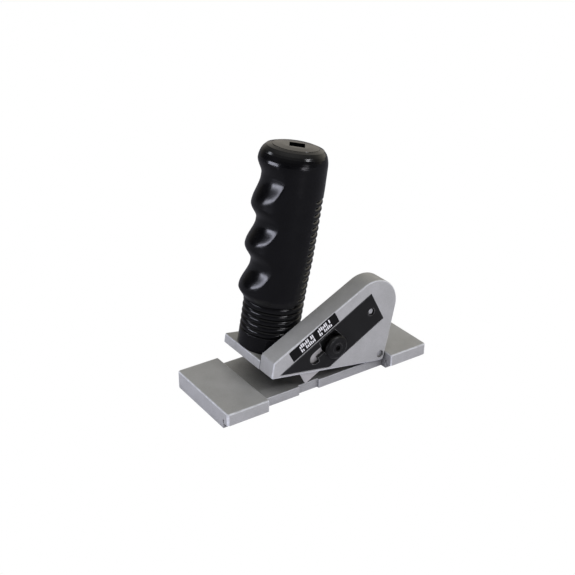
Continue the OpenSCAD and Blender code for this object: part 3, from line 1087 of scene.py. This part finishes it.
# Clamp screw.
SCREW_R = 2.45
HEAD_R = 6.4
HEAD_T = 2.0
HEAD_RIM_T = 0.5
HEAD_FACE_R = 4.6
HEAD_EDGE = 0.2
WASHER_T = 0.4
WASHER_GAP = 0.04
SCREW_L = 9.5
SCREW_CHAMFER = 0.5
SOCKET_R = 1.75
SOCKET_DEPTH = 1.6
# Turned ring in the head's face: inner and outer radius, width of its slopes, and depth.
FACE_RING = (2.5, 3.0, 0.15, 0.12)


def clamp_screw():
    """A low domed head with a flat face, a turned ring, and a hexagon socket."""
    head_hi = SIDE_LO.y - WASHER_T - WASHER_GAP
    head_lo = head_hi - HEAD_T
    end = head_hi + SCREW_L
    inner, outer, slope, depth = FACE_RING
    profile = [
        (AXIS_R, head_lo),
        (inner, head_lo),
        (inner + slope, head_lo + depth),
        (outer - slope, head_lo + depth),
        (outer, head_lo),
        (HEAD_FACE_R - HEAD_EDGE, head_lo),
    ]
    dome = HEAD_T - HEAD_RIM_T
    for turn in np.radians(np.linspace(15, 90, 8)):
        out = HEAD_FACE_R + (HEAD_R - HEAD_FACE_R) * math.sin(turn)
        profile.append((out, head_lo + dome * (1 - math.cos(turn))))
    profile += [
        (HEAD_R, head_hi - HEAD_EDGE),
        (HEAD_R - HEAD_EDGE, head_hi),
        (SCREW_R, head_hi),
        (SCREW_R, end - SCREW_CHAMFER),
        (SCREW_R - SCREW_CHAMFER, end),
        (AXIS_R, end),
    ]
    body = revolve("clamp_screw_round", profile, CLAMP_AB, 128)
    hexagon = ring(0, 0, SOCKET_R, 6)
    cut(body, prism("socket", hexagon, [], head_lo - OVER, head_lo + SOCKET_DEPTH, 0, 0, CLAMP_AB))
    body.name = "clamp_screw_round"
    return dress(body, "clamp_screw", BLACK_OXIDE, "screw_black", "clamp_screw")


clamp_screw()
finish_node("clamp_washer", ZINC_STEEL)

# ---- Handle ----

finish_node("handle_core", CORE)
for fastener in ("handle_bolt", "handle_washer", "handle_nut"):
    finish_node(fastener, ZINC_STEEL)

# Grip outlines at the back and at the front: height and radius.
BACK_PROFILE = (
    (0, 15.6), (5, 15.4), (19, 15.35), (36, 15.7), (48.5, 16.3), (64, 16.5), (86, 16.5), (96, 16.3),
    (107, 16)
)
FRONT_PROFILE = (
    (0, 15.6), (5, 15.45), (24.2, 15.45), (26.6, 16.5), (28.7, 18.3), (29.7, 18.85), (30.6, 18.9),
    (52.6, 18.6), (74, 18.3), (96.8, 18), (107, 17.8)
)
# Crown: height and share of the shoulder's radius, over the shoulder and a shallow ring to the disc.
CROWN = (
    (96.8, 1.0), (98.2, 0.992), (99.6, 0.972), (100.9, 0.945), (102, 0.91), (102.8, 0.87), (103.3, 0.84),
    (103.6, 0.825), (104.25, 0.705), (104.15, 0.695), (104.15, 0.685), (104.4, 0.675), (104.8, 0.4),
    (104.8, 0.0)
)
CROWN_STEPS = 12
FOOT_EDGE = 0.5
# Heights of the crests between the finger scoops, and the depth of each scoop.
CRESTS = (96.8, 74.0, 52.6, 29.9)
SCOOP_DEPTH = (2.85, 3.6, 4.05)
SCOOP_SPAN = math.radians(80)
# How far a scoop's middle rises towards its sides, as a share of its height.
SCOOP_LIFT = 0.12
# Shares of a scoop's height at which it is fully deep, and at which it starts to rise again.
SCOOP_DEEP = 0.34
SCOOP_RISE = 0.4
RING_LOW = 8.6
RING_PITCH = 3.35
RING_COUNT = 5
RING_DEPTH = 1.15
RING_FADE = 0.4
RIB_PITCH = 3.4
RIB_DEPTH = 2.0
RIB_TOP = 80.5
RIB_LOW = 25.0
# Half angles of the ribs, in degrees, above and below the height at which they widen.
RIB_HALF = 41
RIB_HALF_LOW = 56
RIB_WIDEN_H = 32
RIB_WIDEN_FADE = 8
RIB_SIDE_FADE = 9
RIB_END_FADE = 1.0
# Gap under the grip's foot.
GRIP_LIFT = 0.04
CORE_ROOM_R = 11.02
CORE_ROOM_H = 101.5
TOP_HOLE = (-3.8, 3.8, -4.2, 4.2)
COLUMNS = 320
# Below this height the grip's rows of points lie close enough for its rings and ribs.
FINE_TOP = 82
FINE_ROWS = 493
COARSE_ROWS = 56
COARSE_STEP = 0.25


def smooth(x):
    """0 below 0 and 1 above 1, with an even ease between."""
    x = np.clip(x, 0, 1)
    return x * x * (3 - 2 * x)


def scoops(angle, h):
    """Depth of the finger scoops: a quick undercut below each crest, then a slow slope out."""
    depth = np.zeros_like(angle)
    side = np.clip(np.abs(angle) / SCOOP_SPAN, 0, 1)
    reach = np.sqrt(np.clip(1 - side**4, 0, 1))
    for i, full in enumerate(SCOOP_DEPTH):
        top, low = CRESTS[i], CRESTS[i + 1]
        middle = (top + low) / 2 + SCOOP_LIFT * (top - low) * side**2
        half = (top - low) / 2 * np.maximum(reach, 1e-3)
        s = (middle + half - h) / (2 * half)
        inside = (s > 0) & (s < 1)
        s = np.clip(s, 0, 1)
        shape = smooth(s / SCOOP_DEEP) * (1 - smooth((s - SCOOP_RISE) / (1 - SCOOP_RISE)))
        depth = np.maximum(depth, np.where(inside, full * shape * (1 - side**2.5), 0))
    return depth


def beads(h, start, pitch, depth):
    """Depth below a row of rounded beads that repeat every pitch from start."""
    across = 2 * np.mod((h - start) / pitch, 1.0) - 1
    return depth * (1 - np.sqrt(np.clip(1 - across**2, 0, 1)))


def within(h, low, high, fade):
    """1 from low to high, which fades to 0 just outside."""
    return smooth((h - low + fade) / fade) * smooth((high + fade - h) / fade)


def foot_rings(h):
    """Beads around the grip's foot."""
    inside = within(h, RING_LOW, RING_LOW + RING_COUNT * RING_PITCH, RING_FADE)
    return beads(h, RING_LOW, RING_PITCH, RING_DEPTH) * inside


def back_ribs(angle, h):
    """Beads across the back, which reach further round near the foot."""
    from_back = np.abs(np.abs(angle) - math.pi)
    low_share = smooth((RIB_WIDEN_H - h) / RIB_WIDEN_FADE)
    half = np.radians(RIB_HALF + (RIB_HALF_LOW - RIB_HALF) * low_share)
    side = smooth((half - from_back) / np.radians(RIB_SIDE_FADE))
    inside = within(h, RIB_LOW, RIB_TOP, RIB_END_FADE)
    return beads(h, RIB_TOP, RIB_PITCH, RIB_DEPTH) * side * inside


def grip_radius(angle, h):
    """The grip's radius; angle 0 is the front, where the fingers lie."""
    back = np.interp(h, *np.array(BACK_PROFILE, float).T)
    front = np.interp(h, *np.array(FRONT_PROFILE, float).T)
    share = (1 + np.cos(angle)) / 2
    base = back + (front - back) * share
    return base - scoops(angle, h) - foot_rings(h) - back_ribs(angle, h)


def grip_sections():
    """The height and the radii of every ring of points, from the foot to the crown's middle."""
    angles = np.linspace(0, 2 * math.pi, COLUMNS, endpoint=False)
    fold = np.where(angles > math.pi, angles - 2 * math.pi, angles)
    fine = np.linspace(0, FINE_TOP, FINE_ROWS)
    coarse = np.linspace(FINE_TOP + COARSE_STEP, CRESTS[0], COARSE_ROWS)
    sections = []
    for h in np.concatenate([fine, coarse]):
        r = grip_radius(fold, np.full(COLUMNS, h))
        below = max(0.0, 1 - h / FOOT_EDGE)
        sections.append((h, r - FOOT_EDGE * (1 - math.sqrt(1 - below**2))))
    shoulder = grip_radius(fold, np.full(COLUMNS, CRESTS[0]))
    crown_h, crown_share = np.array(CROWN, float).T
    last = len(CROWN) - 1
    along = np.linspace(0, last, CROWN_STEPS * last + 1)[1:-1]
    for place in along:
        share = np.interp(place, np.arange(last + 1), crown_share)
        sections.append((np.interp(place, np.arange(last + 1), crown_h), shoulder * share))
    return angles, sections


def grip_shell():
    """The grip as one skin, hollowed out for the core, with a hole in its top."""
    angles, sections = grip_sections()
    verts, faces = [], []
    for h, r in sections:
        points = np.stack([-r * np.cos(angles), r * np.sin(angles), np.full(COLUMNS, h)], 1)
        verts += [tuple(point) for point in points]
    last = len(verts) - COLUMNS
    for start in range(0, last, COLUMNS):
        for k in range(COLUMNS):
            a, b = start + k, start + (k + 1) % COLUMNS
            faces.append((a, b, b + COLUMNS, a + COLUMNS))
    faces.append(tuple(range(COLUMNS)))
    top = len(verts)
    verts.append((0.0, 0.0, GRIP_H))
    faces += [(last + k, last + (k + 1) % COLUMNS, top) for k in range(COLUMNS)]
    shell = mesh_object("grip_shell", verts, faces, GRIP @ Matrix.Translation((0, 0, GRIP_LIFT)))
    room = bar(GRIP, 0, 0, CORE_ROOM_R, -OVER, CORE_ROOM_H)
    outline = soft(rectangle(*TOP_HOLE), 0.4)
    hole = prism("hole", outline, [], CORE_ROOM_H - OVER, GRIP_H + OVER, 0, 0, GRIP)
    cut(shell, room, hole)
    shell.name = "grip_shell"
    return dress(shell, "lever", GLOSS_BLACK, "grip", "handle_grip", crease=50, weighted=False)


grip_shell()

# ---- Studio ----

CAMERA_AIM = Vector((-0.02135, -0.0154, 0.0620))
CAMERA_DISTANCE = 0.47805
CAMERA_AZIMUTH = math.radians(34.4955)
CAMERA_ELEVATION = math.radians(26.699)
CAMERA_ROLL = math.radians(0.4)
CAMERA_LENS = 62.74


def camera():
    """A camera that looks at the aim from its azimuth, left of the near side, and its elevation."""
    flat = math.cos(CAMERA_ELEVATION)
    across, depth = math.sin(CAMERA_AZIMUTH) * flat, math.cos(CAMERA_AZIMUTH) * flat
    back = Vector((-across, -depth, math.sin(CAMERA_ELEVATION)))
    data = bpy.data.cameras.new("camera")
    data.lens = CAMERA_LENS
    data.sensor_width = 36
    data.clip_start = 0.01
    data.clip_end = 50
    obj = bpy.data.objects.new("camera", data)
    bpy.context.scene.collection.objects.link(obj)
    obj.location = CAMERA_AIM + back * CAMERA_DISTANCE
    turn = (-back).to_track_quat("-Z", "Y")
    obj.rotation_mode = "QUATERNION"
    obj.rotation_quaternion = turn @ Matrix.Rotation(CAMERA_ROLL, 4, "Z").to_quaternion()
    bpy.context.scene.camera = obj


# The white floor's glow, the share of it that polished surfaces mirror, and how much light it returns.
FLOOR_GLOW = (0.72, 0.72, 0.86)
FLOOR_MIRRORED = 0.15
FLOOR_ALBEDO = 0.7
FLOOR_SIZE = 6.0
FLOOR_DROP = 0.0001
# Soft areas of the room: azimuth, elevation, sharpness and colour; azimuth 0 stands at -Y and 90 at +X.
ROOM = (
    (145, 8, 4, (0.6, 0.56, 0.5)),
    (95, 12, 6, (0.7, 0.66, 0.56)),
    (0, 90, 3, (0.72, 0.72, 0.69)),
)
# Soft boxes: name, azimuth, elevation, distance, width, height and colour in watts.
BOXES = (
    ("left_low", -101, 10, 1.1, 0.7, 0.12, (3.2, 3.25, 3.8)),
    ("front_low", 5, 7, 1.1, 0.4, 0.16, (1.6, 1.58, 1.7)),
    ("left_back", -138, 38, 1.1, 0.2, 0.2, (0.8, 0.82, 0.9)),
    ("front_high", 32, 40, 1.1, 0.3, 0.14, (2.2, 2.2, 2.3)),
)


def toward(azimuth, elevation):
    """The direction from the part to a place in the room, from angles in degrees."""
    a, e = math.radians(azimuth), math.radians(elevation)
    return Vector((math.sin(a) * math.cos(e), -math.cos(a) * math.cos(e), math.sin(e)))


def floor():
    """A white sweep to the camera, clear from below, and a pale matt floor to everything else."""
    mesh = bpy.data.meshes.new("floor")
    corners = rectangle(-FLOOR_SIZE, FLOOR_SIZE, -FLOOR_SIZE, FLOOR_SIZE)
    mesh.from_pydata([(x, y, 0) for x, y in corners], [], [(0, 1, 2, 3)])
    obj = bpy.data.objects.new("floor", mesh)
    bpy.context.scene.collection.objects.link(obj)
    obj.location.z = -FLOOR_DROP
    g = Graph("floor")
    seen = g.add("LightPath").outputs["Is Camera Ray"]
    white = g.add("Emission", {"Color": grey(1.0), "Strength": 1.0}).outputs["Emission"]
    mirrored = g.add("LightPath").outputs["Is Glossy Ray"]
    strength = g.spread(mirrored, 1.0, FLOOR_MIRRORED, 0.0, 1.0)
    paint = g.mix(strength, grey(0.0), grey(FLOOR_ALBEDO))
    pale = g.add("BsdfDiffuse", {"Color": paint}).outputs["BSDF"]
    glow = g.add("Emission", {"Color": (*FLOOR_GLOW, 1.0), "Strength": strength}).outputs["Emission"]
    lit = g.add("AddShader", {0: pale, 1: glow}).outputs["Shader"]
    both = g.add("MixShader", {0: seen, 1: lit, 2: white}).outputs["Shader"]
    below = g.math("MULTIPLY", seen, g.add("NewGeometry").outputs["Backfacing"])
    clear = g.add("BsdfTransparent").outputs["BSDF"]
    shown = g.add("MixShader", {0: below, 1: both, 2: clear}).outputs["Shader"]
    g.add("OutputMaterial", {"Surface": shown})
    mesh.materials.append(g.material)


def area_light(name, azimuth, elevation, distance, width, height, color):
    """A soft box that faces the part."""
    data = bpy.data.lights.new(name, "AREA")
    data.shape = "RECTANGLE"
    data.size, data.size_y = width, height
    data.energy = 1.0
    data.color = color
    obj = bpy.data.objects.new(name, data)
    bpy.context.scene.collection.objects.link(obj)
    obj.location = toward(azimuth, elevation) * distance
    obj.rotation_mode = "QUATERNION"
    obj.rotation_quaternion = (-toward(azimuth, elevation)).to_track_quat("-Z", "Y")


def world():
    """A room whose walls and ceiling are brighter in some directions than in others."""
    sky = bpy.data.worlds.new("room")
    bpy.context.scene.world = sky
    sky.use_nodes = True
    tree = sky.node_tree
    tree.nodes.clear()

    def add(kind, operation, *inputs):
        node = tree.nodes.new("ShaderNode" + kind)
        node.operation = operation
        for socket, value in zip(node.inputs, inputs):
            if isinstance(value, bpy.types.NodeSocket):
                tree.links.new(value, socket)
            else:
                socket.default_value = value
        return node.outputs

    where = tree.nodes.new("ShaderNodeTexCoord").outputs["Generated"]
    total = None
    for azimuth, elevation, sharp, color in ROOM:
        facing = add("VectorMath", "DOT_PRODUCT", where, toward(azimuth, elevation))["Value"]
        clipped = add("Math", "MAXIMUM", facing, 0.0)[0]
        lobe = add("Math", "POWER", clipped, sharp)[0]
        tinted = add("VectorMath", "SCALE", color)
        tree.links.new(lobe, tinted[0].node.inputs["Scale"])
        total = tinted[0] if total is None else add("VectorMath", "ADD", total, tinted[0])[0]
    light = tree.nodes.new("ShaderNodeBackground")
    seen = tree.nodes.new("ShaderNodeLightPath").outputs["Is Camera Ray"]
    backdrop = add("VectorMath", "MULTIPLY_ADD", (1, 1, 1), seen, total)[0]
    tree.links.new(backdrop, light.inputs["Color"])
    out = tree.nodes.new("ShaderNodeOutputWorld")
    tree.links.new(light.outputs["Background"], out.inputs["Surface"])


camera()
floor()
world()
for box in BOXES:
    area_light(*box)
bpy.context.scene.view_settings.view_transform = "Standard"
